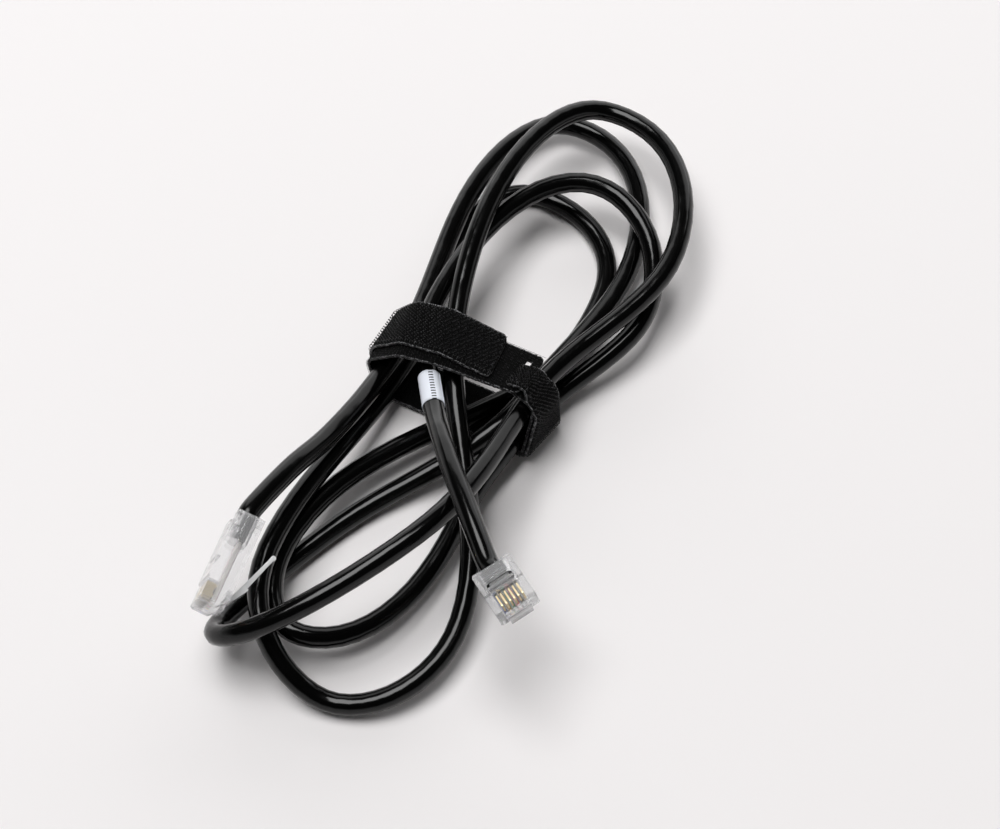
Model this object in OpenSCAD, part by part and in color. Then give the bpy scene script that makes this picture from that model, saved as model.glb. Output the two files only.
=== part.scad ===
// Round modular cord folded into a loose hank, with a clear eight-way plug on one
// end, a clear six-way plug on the other and a hook-and-loop tie round the waist.
// X runs across the hank, Y along it and Z up from the surface that it lies on.

/* [Cord] */
// Outer diameter of the round jacket
cord_d = 5; // [4.6:0.1:5.2]
// Rings in one loop of the hank
loop_rings = 24; // [16:8:32]
// Sides of the section in the hank
loop_sides = 6; // [6:1:8]
// Sides of the section in the two tails
tail_sides = 10; // [8:1:12]

/* [Tie] */
// Width of the cloth band
tie_w = 12.7; // [10:0.1:15]
// Thickness of one layer of cloth
tie_t = 0.9; // [0.7:0.05:0.95]
// Space between two layers
tie_gap = 0.15; // [0.12:0.01:0.18]
// Space between the cords and the cloth
tie_clear = 0.2; // [0.15:0.01:0.25]
// Corner radius of both ends
tie_end_r = 1.6; // [1:0.1:3]
// Length of the slot in the head, across the band
tie_slot_l = 7.6; // [7.2:0.1:9]

/* [Label] */
// Length of the paper sleeve
label_l = 10; // [6:0.5:10.5]
// Thickness of the wrapped paper
label_t = 0.22; // [0.15:0.01:0.25]
// Distance from the hank's end to the paper
label_from = 4.2; // [4:0.1:4.4]

/* [Plugs] */
// Width of the eight-way plug
eight_w = 11.68; // [11.5:0.01:11.8]
// Length of the eight-way plug's body
eight_l = 22.4; // [21.4:0.1:23.2]
// Width of the six-way plug
six_w = 9.65; // [9.5:0.01:9.8]
// Length of the six-way plug's body
six_l = 12.34; // [12:0.01:13]
// Height of both bodies without the latch
plug_h = 6.6; // [6.4:0.05:6.8]
// Spacing of the contacts
pitch = 1.02; // [1:0.01:1.04]
// Width of a contact slot
slot_w = 0.56; // [0.5:0.01:0.62]
// Thickness of a contact blade
blade_t = 0.36; // [0.3:0.01:0.4]
// Length of a contact blade
blade_l = 3.2; // [2.8:0.1:3.6]
// How far the blades lie under the contact face
blade_drop = 0.6; // [0.4:0.05:0.9]
// Diameter of an insulated wire
wire_d = 0.94; // [0.8:0.01:0.98]
// Clearance round what a plug holds
plug_clear = 0.12; // [0.08:0.01:0.16]

/* [Latches] */
// Length of the eight-way latch from the hinge to the tip
eight_latch_l = 14.8; // [12:0.1:16]
// Length of the six-way latch from the hinge to the tip
six_latch_l = 10.8; // [9:0.1:12]
// Width at the hinge
latch_w = 6; // [5.5:0.1:6.4]
// Width of the tongue
tongue_w = 3.2; // [2.8:0.1:3.8]
// Thickness of the lever
latch_t = 1.2; // [0.9:0.05:1.4]
// Angle between the lever at rest and the body
latch_rest = 20; // [18:1:24]
// Radius of the hinge root
root_r = 0.6; // [0.5:0.05:0.7]
// Distance from the nose to the hinge
root_back = 3.4; // [3.2:0.1:3.8]

/* [Hidden] */
$fn = 32;

cord_r = cord_d / 2;
// The cord is cut flat by this much where it stands on the surface
stand_cut = cord_d / 10;
// Side of the block that makes this cut, larger than the hank
cut_block = 80 * cord_d;
fine_steps = 96;
smooth_passes = 8;
least_gap_wanted = 0.4;

// Where the cord passes the waist: x, y, z, lean from +Y toward +X, climb toward +Y
passes = [
    [-19.2, 0, 12, 8, -6],
    [14.2, 0, 10.5, 14, 1.5],
    [16.2, 0, 16, 11, -7],
    [-4.5, 0, 18.5, -19, 0],
    [-17.6, 0, 6, 5, -8],
    [8, 0, 5.6, 44, 0],
    [17, 0, 5.5, 18, 0],
    [-11, 0, 18.5, -22, -15]
];

// The loops between the passes: side, lean, way in, tip and way out
loops = [
    [1, 0, [-20, 46, 9], [-1.5, 85.5, 4.5], [25.5, 48, 6.5]],
    [-1, 31, [-17, -42, 2.5], [-31, -82.5, 13.5], [6.3, -50, 28]],
    [1, 0, [36.5, 47, 17.5], [8, 85, 15], [-11, 43, 21]],
    [-1, 0, [19, -59.5, 7], [-4, -85.5, 2.5], [-27.5, -60.5, 15.5]],
    [1, 0, [-19.5, 41, 3], [-4, 62.5, 2.5], [21, 40, 2.5]],
    [-1, 0, [-26, -56, 9.5], [-14.5, -74.5, 9], [9, -34, 4.8]],
    [1, 0, [34, 33.5, 10.5], [11, 63, 14.5], [-14.9, 13, 15.6]]
];

// Tail points between the hank and each plug
eight_tail_points = [[-21.6, -17.8, 16], [-24.4, -30.7, 19.5], [-27.8, -42, 23.4]];
six_tail_points = [[-2.8, -16.8, 23.8], [3.2, -26.8, 28.8], [9.5, -36, 31.8], [17, -45.8, 33]];

// Back centre of each plug, and its yaw, pitch and roll
eight_at = [-31.3, -58.8, 26];
eight_aim = [179, -4, 68];
six_at = [25.5, -55.7, 33.3];
six_aim = [-132, 11, 12];
tail_straight = 0.6 * cord_d;

// The tie starts with its slotted head on top of the right-hand cords. The band goes
// left round the waist, comes up on the right, passes through the slot, folds back
// over the head's bar and goes round again the other way.
// Each bend: x and z of its centre, the band's middle along the bend, the bend's lean
// and climb, the layer from the cords out, and how far both edges are drawn in
tie_low_z = stand_cut + 2 * tie_t + tie_gap + tie_clear + cord_r;
tie_head = [15.4, 16.9, -0.8, 14, -8, 1.2, 0];
tie_first = [
    [-7.5, 21.2, 0.1, -4, 0, 0, 0],
    [-14.5, 19.2, 0.4, 2, -2, 0, 0],
    [-20.2, 13, 0.8, 9, -4, 0, 0],
    [-18.6, tie_low_z, 0, 6, 0, 0, 0],
    [17.5, tie_low_z, -4, 20, 0, 0, 0],
    [17.1, 16.9, -3, 14, -10, 0, 1.6]
];
tie_slot = [13.2, -2, 14, -8, 2.9];
tie_second = [
    [15.4, 17.1, -2.6, 14, -9, 2.4, 2.6],
    [17.3, 16.5, -4, 14, -10, 1.3, 1.4],
    [17.5, tie_low_z, -4, 20, 0, 1, 0],
    [-18.6, tie_low_z, 1, 6, 0, 1, 0],
    [-20.2, 13, 3.8, 9, -4, 1.1, 0],
    [-14.5, 19.2, 3.3, 2, -2, 1.15, 0],
    [-7.5, 21.2, 2.6, -4, 0, 1.1, 0]
];
tie_end = [6.4, 19.1, 0.8, 2, -4, 1.25, 0];
bend_steps = 5;
run_steps = 4;
full_turn = 360;
// A turn against the band's own sense up to this angle is kept as it is
slack_turn = 25;

half_h = plug_h / 2;
jacket_room_h = 4;
jacket_h = jacket_room_h - 2 * plug_clear;
wire_z = -0.3;
wire_top = wire_z + wire_d / 2;
wire_room_h = wire_d + 2 * plug_clear;
bar_l = 1.4;
bar_dip = 0.7;
nose_wall = 1.2;
// The full-height ears beside the recess at the back, and the ridge in front of it
ear_w = 2.1;
ear_round = 1;
recess_drop = 0.9;
ridge_from = 2.6;
ridge_l = 0.9;
// The window that the strain bar is pressed through, and what is left at its ends
window_l = 1.7;
window_side = 0.6;
bar_end = 0.8;
// The comb of slots at the front, and how far it lies below the ridge
comb_l = 5.4;
comb_drop = 0.4;
// The sloping notch over the wires
relief_l = 1.3;
six_relief_at = 5.8;
eight_relief_at = 11.6;
slot_back = 0.75;
// The nose below the contacts, cut back on both sides of the latch
nose_w = latch_w - 0.5;
nose_cut = 2;
six_jacket_in = 6;
eight_jacket_in = 6.6;
wire_names = ["white", "black", "red", "green", "yellow", "blue"];

// ---- vectors and sweeps ----

function unit(v) = v / norm(v);

function tangent(p, i) = unit(p[min(i + 1, len(p) - 1)] - p[max(i - 1, 0)]);

function ring(p, i, r, n) =
    let (
        t = tangent(p, i),
        side = unit(cross(t, [0, 0, 1])),
        up = cross(side, t)
    )
    [for (k = [0:n - 1]) let (a = 270 + 360 * k / n) p[i] + r * (cos(a) * side + sin(a) * up)];

// Triangles over a row of rings of n points, with a fan on each end
function sweep_faces(rings, n) = [
    for (k = [1:n - 2]) [0, k + 1, k],
    for (i = [0:rings - 2], k = [0:n - 1], half = [0, 1])
        let (
            a = i * n + k,
            b = i * n + (k + 1) % n,
            c = b + n,
            d = a + n
        )
        half == 0 ? [a, b, c] : [a, c, d],
    for (k = [1:n - 2]) let (e = (rings - 1) * n) [e, e + k, e + k + 1]
];

module tube(p, r, n) {
    points = [for (i = [0:len(p) - 1]) each ring(p, i, r, n)];
    polyhedron(points, sweep_faces(len(p), n), convexity = 10);
}

// ---- route of the cord ----

function pass_at(i) = [passes[i][0], passes[i][1], passes[i][2]];

function pass_dir(i) =
    let (lean = passes[i][3], climb = passes[i][4])
    [cos(climb) * sin(lean), cos(climb) * cos(lean), sin(climb)];

// A run from a pass to the start of a turn, with its direction set at both ends
function run(p, d, b, u, t) =
    let (l = norm(b - p))
    (2 * t ^ 3 - 3 * t ^ 2 + 1) * p + (t ^ 3 - 2 * t ^ 2 + t) * l * d
    + (3 * t ^ 2 - 2 * t ^ 3) * b + (t ^ 3 - t ^ 2) * l * u;

// A quarter turn from a side of the loop to its tip
function quarter(b, tip, u, a) =
    let (k = tip - ((tip - b) * u) * u)
    k + (b - k) * cos(a) + (tip - k) * sin(a);

// One loop, at q from 0 to 4: run out, turn to the tip, turn back, run home
function loop_at(i, q) =
    let (
        side = loops[i][0],
        u = side * [sin(loops[i][1]), cos(loops[i][1]), 0],
        in = loops[i][2],
        tip = loops[i][3],
        out = loops[i][4]
    )
    q < 1 ? run(pass_at(i), side * pass_dir(i), in, u, q)
    : q < 2 ? quarter(in, tip, u, 90 * (q - 1))
    : q < 3 ? quarter(out, tip, u, 90 * (3 - q))
    : run(pass_at(i + 1), side * pass_dir(i + 1), out, u, 4 - q);

function smooth(p, n) =
    n == 0 ? p
    : smooth([
        for (i = [0:len(p) - 1])
            i == 0 || i == len(p) - 1 ? p[i] : (p[i - 1] + 2 * p[i] + p[i + 1]) / 4
    ], n - 1);

last_pass = len(passes) - 1;
fine_route = smooth([
    for (i = [0:len(loops) - 1], s = [0:fine_steps - 1]) loop_at(i, 4 * s / fine_steps),
    pass_at(last_pass)
], smooth_passes);
ring_every = fine_steps / loop_rings;

hank_start = pass_at(0) - cord_d * pass_dir(0);
hank_end = pass_at(last_pass) - cord_d * pass_dir(last_pass);
hank_route = [
    hank_start,
    for (i = [0:ring_every:len(fine_route) - 1]) fine_route[i],
    hank_end
];

function plug_dir(aim) =
    [-sin(aim[0]) * cos(aim[1]), cos(aim[0]) * cos(aim[1]), sin(aim[1])];

eight_tail_route = concat(
    [hank_start], eight_tail_points,
    [eight_at - tail_straight * plug_dir(eight_aim), eight_at]
);
six_tail_route = concat(
    [hank_end], six_tail_points,
    [six_at - tail_straight * plug_dir(six_aim), six_at]
);

// ---- least gap of the hank to itself ----

check_step = 3;
near_along = 4 * cord_d;
check_route = [for (i = [0:check_step:len(fine_route) - 1]) fine_route[i]];
check_along = [
    for (i = 0, s = 0; i < len(check_route);
        s = s + (i + 1 < len(check_route) ? norm(check_route[i + 1] - check_route[i]) : 0),
        i = i + 1) s
];
least_gap = min([
    for (i = [0:len(check_route) - 2], j = [i + 1:len(check_route) - 1])
        if (check_along[j] - check_along[i] > near_along)
            norm(check_route[i] - check_route[j])
]) - cord_d;
echo(least_gap_of_hank_mm = least_gap, wanted_over_mm = least_gap_wanted);

// ---- frame: the middle of the footprint is the origin ----

function turn_x(v, a) = [v[0], v[1] * cos(a) - v[2] * sin(a), v[1] * sin(a) + v[2] * cos(a)];
function turn_y(v, a) = [v[0] * cos(a) + v[2] * sin(a), v[1], v[2] * cos(a) - v[0] * sin(a)];
function turn_z(v, a) = [v[0] * cos(a) - v[1] * sin(a), v[0] * sin(a) + v[1] * cos(a), v[2]];
function place_point(v, at, aim) = at + turn_z(turn_x(turn_y(v, aim[2]), aim[1]), aim[0]);

function plug_corners(w, l, at, aim) = [
    for (x = [-w / 2, w / 2], y = [0, l], z = [-half_h, half_h])
        place_point([x, y, z], at, aim)
];

solid_extremes = concat(
    [for (p = concat(hank_route, eight_tail_route, six_tail_route), s = [-1, 1])
        p + s * cord_r * [1, 1, 0]],
    plug_corners(eight_w, eight_l, eight_at, eight_aim),
    plug_corners(six_w, six_l, six_at, six_aim)
);
middle = [
    for (k = [0, 1])
        let (values = [for (p = solid_extremes) p[k]])
        (min(values) + max(values)) / 2
];

module in_frame() {
    translate([-middle[0], -middle[1], -stand_cut])
        children();
}

module on_plug(at, aim) {
    in_frame()
        translate(at)
            rotate([0, 0, aim[0]])
                rotate([aim[1], 0, 0])
                    rotate([0, aim[2], 0])
                        children();
}

// ---- cord, label and tie ----

module cable_hank() {
    color("#151515")
        in_frame()
            difference() {
                tube(hank_route, cord_r, loop_sides);
                translate([-cut_block / 2, -cut_block / 2, stand_cut - cut_block])
                    cube(cut_block);
            }
}

module eight_way_tail() {
    color("#151515")
        in_frame()
            tube(eight_tail_route, cord_r, tail_sides);
}

module six_way_tail() {
    color("#151515")
        in_frame()
            tube(six_tail_route, cord_r, tail_sides);
}

module label_wrap() {
    along = unit(six_tail_route[1] - six_tail_route[0]);
    inner_r = cord_r + 0.04;
    color("white")
        in_frame()
            translate(six_tail_route[0] + label_from * along)
                rotate([0, acos(along[2]), atan2(along[1], along[0])])
                    difference() {
                        cylinder(r = inner_r + label_t, h = label_l);
                        translate([0, 0, -1])
                            cylinder(r = inner_r, h = label_l + 2);
                    }
}

// Outward side of a stretch of the band from a to b, which goes clockwise seen from
// -Y when side is 1 and the other way when it is -1
function outward(a, b, side) = atan2(side * (b[0] - a[0]), side * (a[1] - b[1]));

function turn_between(a, b, side) =
    let (d = ((b - a) % full_turn + full_turn) % full_turn)
    side > 0 && d > slack_turn ? d - full_turn : d;

function bend_axis(b) = [cos(b[4]) * sin(b[3]), cos(b[4]) * cos(b[3]), sin(b[4])];

// A row of the band at bend b: its middle, its direction across and half its width
function band_row(b, a, r) =
    let (
        axis = bend_axis(b),
        right = [cos(b[3]), -sin(b[3]), 0],
        middle_of_row = [b[0], 0, b[1]] + b[2] * axis
    )
    [
        middle_of_row + r * (cos(a) * right + sin(a) * cross(right, axis)),
        axis,
        tie_w / 2 - b[6]
    ];

function band_r(layer) = cord_r + tie_clear + tie_t / 2 + layer * (tie_t + tie_gap);

// Rows round each bend of a list whose first and last items only give directions
function bend_rows(bends, side) = [
    for (i = [1:len(bends) - 2])
        let (
            a = outward(bends[i - 1], bends[i], side),
            swing = turn_between(a, outward(bends[i], bends[i + 1], side), side)
        )
        [for (s = [0:bend_steps])
            band_row(bends[i], a + swing * s / bend_steps, band_r(bends[i][5]))]
];

// Rows with round corners at an end of the band, from the end inward
function end_rows(row, toward) = [
    for (s = [0:30:90])
        [
            row[0] + tie_end_r * (1 - cos(s)) * unit(toward - row[0]),
            row[1],
            row[2] - tie_end_r * (1 - sin(s))
        ]
];

function backward(rows) = [for (i = [len(rows) - 1:-1:0]) rows[i]];

// Radius of the fold through the slot, round the head's bar
fold_r = tie_t + 2 * tie_gap;
head_row = band_row(tie_head, 90, band_r(tie_head[5]));
head_joins = band_row(tie_first[0], 90, band_r(0));
slot_share = (tie_slot[0] - head_joins[0][0]) / (head_row[0][0] - head_joins[0][0]);
bar_z = head_joins[0][2] + slot_share * (head_row[0][2] - head_joins[0][2])
    - tie_head[2] * sin(tie_head[4]);
slot_bend = [
    tie_slot[0], bar_z, tie_slot[1], tie_slot[2], tie_slot[3], 0, tie_slot[4]
];
slot_in = [tie_slot[0], bar_z - fold_r];
slot_out = [tie_slot[0], bar_z + fold_r];

first_rows = bend_rows(concat([tie_head], tie_first, [slot_in]), -1);
rise = tie_first[len(tie_first) - 1];
slot_from = outward([rise[0], rise[1] + band_r(0)], slot_in, 1);
over = [tie_second[0][0], tie_second[0][1] + band_r(tie_second[0][5])];
slot_swing = turn_between(slot_from, outward(slot_out, over, 1), 1);
slot_rows = [for (s = [0:bend_steps])
    band_row(slot_bend, slot_from + slot_swing * s / bend_steps, fold_r)];
second_start = [slot_out[0], slot_out[1] - band_r(tie_second[0][5])];
second_rows = bend_rows(concat([second_start], tie_second, [tie_end]), 1);
last_second = second_rows[len(second_rows) - 1];
end_row = band_row(
    tie_end, outward(tie_second[len(tie_second) - 1], tie_end, 1), band_r(tie_end[5])
);

tie_bends = concat(
    [end_rows(head_row, first_rows[0][0][0])], first_rows, [slot_rows], second_rows,
    [backward(end_rows(end_row, last_second[bend_steps][0]))]
);
tie_rows = [
    for (i = [0:len(tie_bends) - 1])
        let (
            here = tie_bends[i],
            last = here[len(here) - 1]
        )
        each concat(here, i == len(tie_bends) - 1 ? [] : [
            for (s = [1:run_steps - 1]) last + (tie_bends[i + 1][0] - last) * s / run_steps
        ])
];
// The head ends at the row halfway to the first bend
head_rows = len(tie_bends[0]) + 2;

module band(rows) {
    middles = [for (row = rows) row[0]];
    points = [
        for (i = [0:len(rows) - 1])
            let (
                across = unit(rows[i][1]) * rows[i][2],
                through = unit(cross(tangent(middles, i), across)) * tie_t / 2
            )
            each [
                for (k = [[1, -1], [-1, -1], [-1, 1], [1, 1]])
                    middles[i] + k[0] * across + k[1] * through
            ]
    ];
    polyhedron(points, sweep_faces(len(rows), 4), convexity = 10);
}

module slotted_head() {
    difference() {
        band([for (i = [0:head_rows - 1]) tie_rows[i]]);
        translate([slot_bend[0], 0, slot_bend[1]] + slot_bend[2] * bend_axis(slot_bend))
            rotate([slot_bend[4], 0, -slot_bend[3]])
                translate([-fold_r - tie_t / 2 - tie_gap, -tie_slot_l / 2, -2 * tie_t])
                    cube([tie_t + 4 * tie_gap, tie_slot_l, 4 * tie_t]);
    }
}

module tie_strap() {
    color("#202020")
        in_frame() {
            slotted_head();
            band([for (i = [head_rows - 1:len(tie_rows) - 1]) tie_rows[i]]);
        }
}

// ---- plug pieces, drawn with the back at y 0 and the contact face up ----

module box(x, y, z) {
    translate([x[0], y[0], z[0]])
        cube([x[1] - x[0], y[1] - y[0], z[1] - z[0]]);
}

// Side outline of a plug body, from the back to the nose, cut back by nose below
function body_outline(l, nose) = [
    [0, -half_h + comb_drop], [comb_drop, -half_h], [l - nose, -half_h], [l, -half_h + nose],
    [l, half_h - ear_round], [l - 0.6 * ear_round, half_h - comb_drop],
    [l - comb_l, half_h - comb_drop], [l - comb_l - comb_drop, half_h],
    [ear_round, half_h], [0.3 * ear_round, half_h - 0.3 * ear_round], [0, half_h - ear_round]
];

module side_slab(w, outline) {
    rotate([90, 0, 90])
        translate([0, 0, -w / 2])
            linear_extrude(w)
                polygon(outline);
}

module plug_body(w, l) {
    intersection() {
        union() {
            side_slab(w + 1, body_outline(l, nose_cut));
            side_slab(nose_w, body_outline(l, 0.5));
        }
        translate([0, 0, -plug_h])
            linear_extrude(2 * plug_h)
                polygon([
                    [-w / 2 + 1.1, 0], [w / 2 - 1.1, 0], [w / 2 - 0.35, 0.35], [w / 2, 1.1],
                    [w / 2, l - 0.7], [w / 2 - 0.5, l], [0.5 - w / 2, l], [-w / 2, l - 0.7],
                    [-w / 2, 1.1], [0.35 - w / 2, 0.35]
                ]);
    }
}

function contact_x(k, count) = (k - (count - 1) / 2) * pitch;

module contact_slots(count, l) {
    blade_from = l - nose_wall - 0.3 - blade_l;
    for (k = [0:count - 1])
        translate([contact_x(k, count), 0, 0]) {
            box([-slot_w / 2, slot_w / 2],
                [blade_from - slot_back, l - nose_wall - 0.3 + plug_clear],
                [wire_z, half_h + 1]);
            box([-slot_w / 2, slot_w / 2], [l - nose_wall - 0.4, l + 1], [half_h - 2.7, half_h + 1]);
        }
}

function room_w(w) = w - 2;

function window_from() = ridge_from + ridge_l;

function window_w(w) = room_w(w) - 2 * window_side;

// Flat passage with round sides for the flattened jacket
module jacket_passage(w, l) {
    rotate([-90, 0, 0])
        linear_extrude(l)
            hull()
                for (s = [-1, 1])
                    translate([s * (w - jacket_room_h) / 2, 0])
                        circle(d = jacket_room_h);
}

module housing(w, l, count, jacket_in, relief_at) {
    color([0.88, 0.92, 0.95, 0.45])
        difference() {
            plug_body(w, l);
            translate([0, -1, 0])
                jacket_passage(room_w(w), jacket_in + plug_clear + 1);
            box([-pitch * count / 2 - 0.1, pitch * count / 2 + 0.1],
                [jacket_in, l - nose_wall], [wire_z - wire_room_h / 2, wire_z + wire_room_h / 2]);
            box([-w / 2 + ear_w, w / 2 - ear_w], [-1, ridge_from],
                [half_h - recess_drop, half_h + 1]);
            box([-window_w(w) / 2, window_w(w) / 2],
                [window_from(), window_from() + window_l], [0, half_h + 1]);
            side_slab(window_w(w), [
                [relief_at, half_h + 1], [relief_at, half_h - 0.95],
                [relief_at + relief_l, half_h - 0.55], [relief_at + relief_l, half_h + 1]
            ]);
            contact_slots(count, l);
            box([-latch_w / 2 - 0.2, latch_w / 2 + 0.2],
                [l - root_back - 1.4, l - root_back + root_r + 0.25],
                [-half_h - 1, -half_h + 0.25 + root_r + 0.2]);
        }
}

// A blade with a rounded front corner and two points that reach the wire
module blade(l) {
    low = wire_top + 0.04;
    high = half_h - blade_drop;
    front = l - nose_wall - 0.3;
    rotate([90, 0, 90])
        translate([0, 0, -blade_t / 2])
            linear_extrude(blade_t)
                union() {
                    polygon([
                        [front - blade_l, low + 0.5], [front - blade_l + 0.4, low],
                        [front - blade_l + 1, low + 0.5], [front - 1, low + 0.5],
                        [front - 0.4, low], [front, low + 0.5], [front, high - 0.6],
                        [front - 0.6, high], [front - blade_l, high]
                    ]);
                    translate([front - 0.6, high - 0.6])
                        circle(r = 0.6, $fn = 24);
                }
}

module contacts(count, l) {
    color("gold")
        for (k = [0:count - 1])
            translate([contact_x(k, count), 0, 0])
                blade(l);
}

// The bar that is pressed in through the window to grip the jacket
module strain_bar(w) {
    reach = window_w(w) / 2 - bar_end;
    color([0.88, 0.92, 0.95, 0.6])
        rotate([90, 0, 90])
            translate([0, 0, -reach])
                linear_extrude(2 * reach)
                    polygon([
                        [window_from() + plug_clear, jacket_h / 2 - bar_dip + 0.5],
                        [window_from() + 0.7, jacket_h / 2 - bar_dip],
                        [window_from() + window_l - plug_clear, jacket_h / 2 - bar_dip + 0.2],
                        [window_from() + window_l - plug_clear, half_h - 0.9],
                        [window_from() + plug_clear + 0.3, half_h - 0.9]
                    ]);
}

module jacket_end(w, jacket_in) {
    flat_w = room_w(w) - 2 * plug_clear;
    color("#151515")
        difference() {
            rotate([-90, 0, 0])
                linear_extrude(jacket_in)
                    hull()
                        for (s = [-1, 1])
                            translate([s * (flat_w - jacket_h) / 2, 0])
                                circle(d = jacket_h);
            box([-room_w(w), room_w(w)],
                [window_from(), window_from() + window_l],
                [jacket_h / 2 - bar_dip - 0.05, half_h]);
        }
}

module wire(k, l, jacket_in, tint) {
    color(tint)
        translate([contact_x(k, len(wire_names)), jacket_in, wire_z])
            rotate([-90, 0, 0])
                cylinder(d = wire_d, h = l - nose_wall - plug_clear - jacket_in, $fn = 16);
}

// Lever with a wide root that thickens to two locking shoulders, and a narrow tongue
// with a rounded tip
module latch(l, lever_l) {
    shoulder = 4.6;
    inner = -0.35;
    outer = inner - latch_t;
    tip_r = latch_t / 2;
    tip_t = 0.7 * latch_t;
    color([0.88, 0.92, 0.95, 0.6])
        translate([0, l - root_back, -half_h + 0.25])
            rotate([latch_rest, 0, 0]) {
                rotate([0, 90, 0])
                    cylinder(r = root_r, h = latch_w, center = true);
                side_slab(latch_w, [
                    [0, inner], [-shoulder, inner], [-shoulder, outer - 0.3],
                    [-shoulder + 0.4, outer - 0.4], [-0.6, outer + 0.3], [0, outer + 0.6]
                ]);
                side_slab(tongue_w, [
                    [-shoulder + 0.1, inner], [-lever_l + tip_r, inner],
                    [-lever_l + tip_r, inner - tip_t], [-shoulder + 0.1, outer]
                ]);
                translate([0, -lever_l + tip_r, inner - 0.6 * tip_t])
                    rotate([0, 90, 0])
                        cylinder(r = tip_r, h = tongue_w, center = true);
            }
}

module eight_way_housing() {
    on_plug(eight_at, eight_aim)
        housing(eight_w, eight_l, 8, eight_jacket_in, eight_relief_at);
}

module eight_way_latch() {
    on_plug(eight_at, eight_aim)
        latch(eight_l, eight_latch_l);
}

module eight_way_contacts() {
    on_plug(eight_at, eight_aim)
        contacts(8, eight_l);
}

module eight_way_strain_bar() {
    on_plug(eight_at, eight_aim)
        strain_bar(eight_w);
}

module eight_way_jacket_end() {
    on_plug(eight_at, eight_aim)
        jacket_end(eight_w, eight_jacket_in);
}

module eight_way_wire(k) {
    on_plug(eight_at, eight_aim)
        wire(k, eight_l, eight_jacket_in, wire_names[k]);
}

module six_way_housing() {
    on_plug(six_at, six_aim)
        housing(six_w, six_l, 6, six_jacket_in, six_relief_at);
}

module six_way_latch() {
    on_plug(six_at, six_aim)
        latch(six_l, six_latch_l);
}

module six_way_contacts() {
    on_plug(six_at, six_aim)
        contacts(6, six_l);
}

module six_way_strain_bar() {
    on_plug(six_at, six_aim)
        strain_bar(six_w);
}

module six_way_jacket_end() {
    on_plug(six_at, six_aim)
        jacket_end(six_w, six_jacket_in);
}

module six_way_wire(k) {
    on_plug(six_at, six_aim)
        wire(k, six_l, six_jacket_in, wire_names[k]);
}

cable_hank();
eight_way_tail();
six_way_tail();
label_wrap();
tie_strap();
eight_way_housing();
eight_way_latch();
eight_way_contacts();
eight_way_strain_bar();
eight_way_jacket_end();
eight_way_wire(0);  // eight_way_wire_white
eight_way_wire(1);  // eight_way_wire_black
eight_way_wire(2);  // eight_way_wire_red
eight_way_wire(3);  // eight_way_wire_green
eight_way_wire(4);  // eight_way_wire_yellow
eight_way_wire(5);  // eight_way_wire_blue
six_way_housing();
six_way_latch();
six_way_contacts();
six_way_strain_bar();
six_way_jacket_end();
six_way_wire(0);  // six_way_wire_white
six_way_wire(1);  // six_way_wire_black
six_way_wire(2);  // six_way_wire_red
six_way_wire(3);  // six_way_wire_green
six_way_wire(4);  // six_way_wire_yellow
six_way_wire(5);  // six_way_wire_blue
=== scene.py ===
from math import atan2, cos, pi, radians, sin

import bmesh
import bpy
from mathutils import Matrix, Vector, noise


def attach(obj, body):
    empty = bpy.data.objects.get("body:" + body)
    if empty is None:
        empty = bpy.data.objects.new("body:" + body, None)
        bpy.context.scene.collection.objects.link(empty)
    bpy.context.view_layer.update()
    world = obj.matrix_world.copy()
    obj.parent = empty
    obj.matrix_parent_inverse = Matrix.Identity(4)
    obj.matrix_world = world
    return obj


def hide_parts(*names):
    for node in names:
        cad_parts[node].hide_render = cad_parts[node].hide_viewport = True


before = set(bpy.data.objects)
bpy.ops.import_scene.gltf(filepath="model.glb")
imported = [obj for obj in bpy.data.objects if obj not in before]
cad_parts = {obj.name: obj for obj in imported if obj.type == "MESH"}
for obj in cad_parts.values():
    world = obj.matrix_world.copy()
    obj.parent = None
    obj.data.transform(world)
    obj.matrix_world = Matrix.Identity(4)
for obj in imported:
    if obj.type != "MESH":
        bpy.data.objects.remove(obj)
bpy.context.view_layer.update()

# The surface, the camera and the light. The cord lies on a pale matt surface, such as
# coated board, under a soft lamp overhead and before a broad pale wall of light at the back.

mm = 0.001
board_half = 1.1
board_drop = 0.02 * mm
tooth_size = 1.11 * mm


def linear(hex_colour):
    parts = [int(hex_colour[i:i + 2], 16) / 255 for i in (1, 3, 5)]
    return [c / 12.92 if c <= 0.04045 else ((c + 0.055) / 1.055) ** 2.4 for c in parts] + [1.0]


def add(tree, kind, settings=None, links=None):
    """Adds a node. Its settings are sockets, by name or number, or properties."""
    made = tree.nodes.new(kind)
    for name, value in (settings or {}).items():
        if isinstance(name, int) or name in made.inputs.keys():
            made.inputs[name].default_value = value
        else:
            setattr(made, name, value)
    for name, source in (links or {}).items():
        tree.links.new(source, made.inputs[name])
    return made


def new_material(name):
    material = bpy.data.materials.new(name)
    material.use_nodes = True
    material.node_tree.nodes.clear()
    return material, material.node_tree


def object_from(name, shape, material):
    mesh = bpy.data.meshes.new(name)
    shape.to_mesh(mesh)
    shape.free()
    mesh.materials.append(material)
    made = bpy.data.objects.new(name, mesh)
    bpy.context.scene.collection.objects.link(made)
    return made


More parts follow.
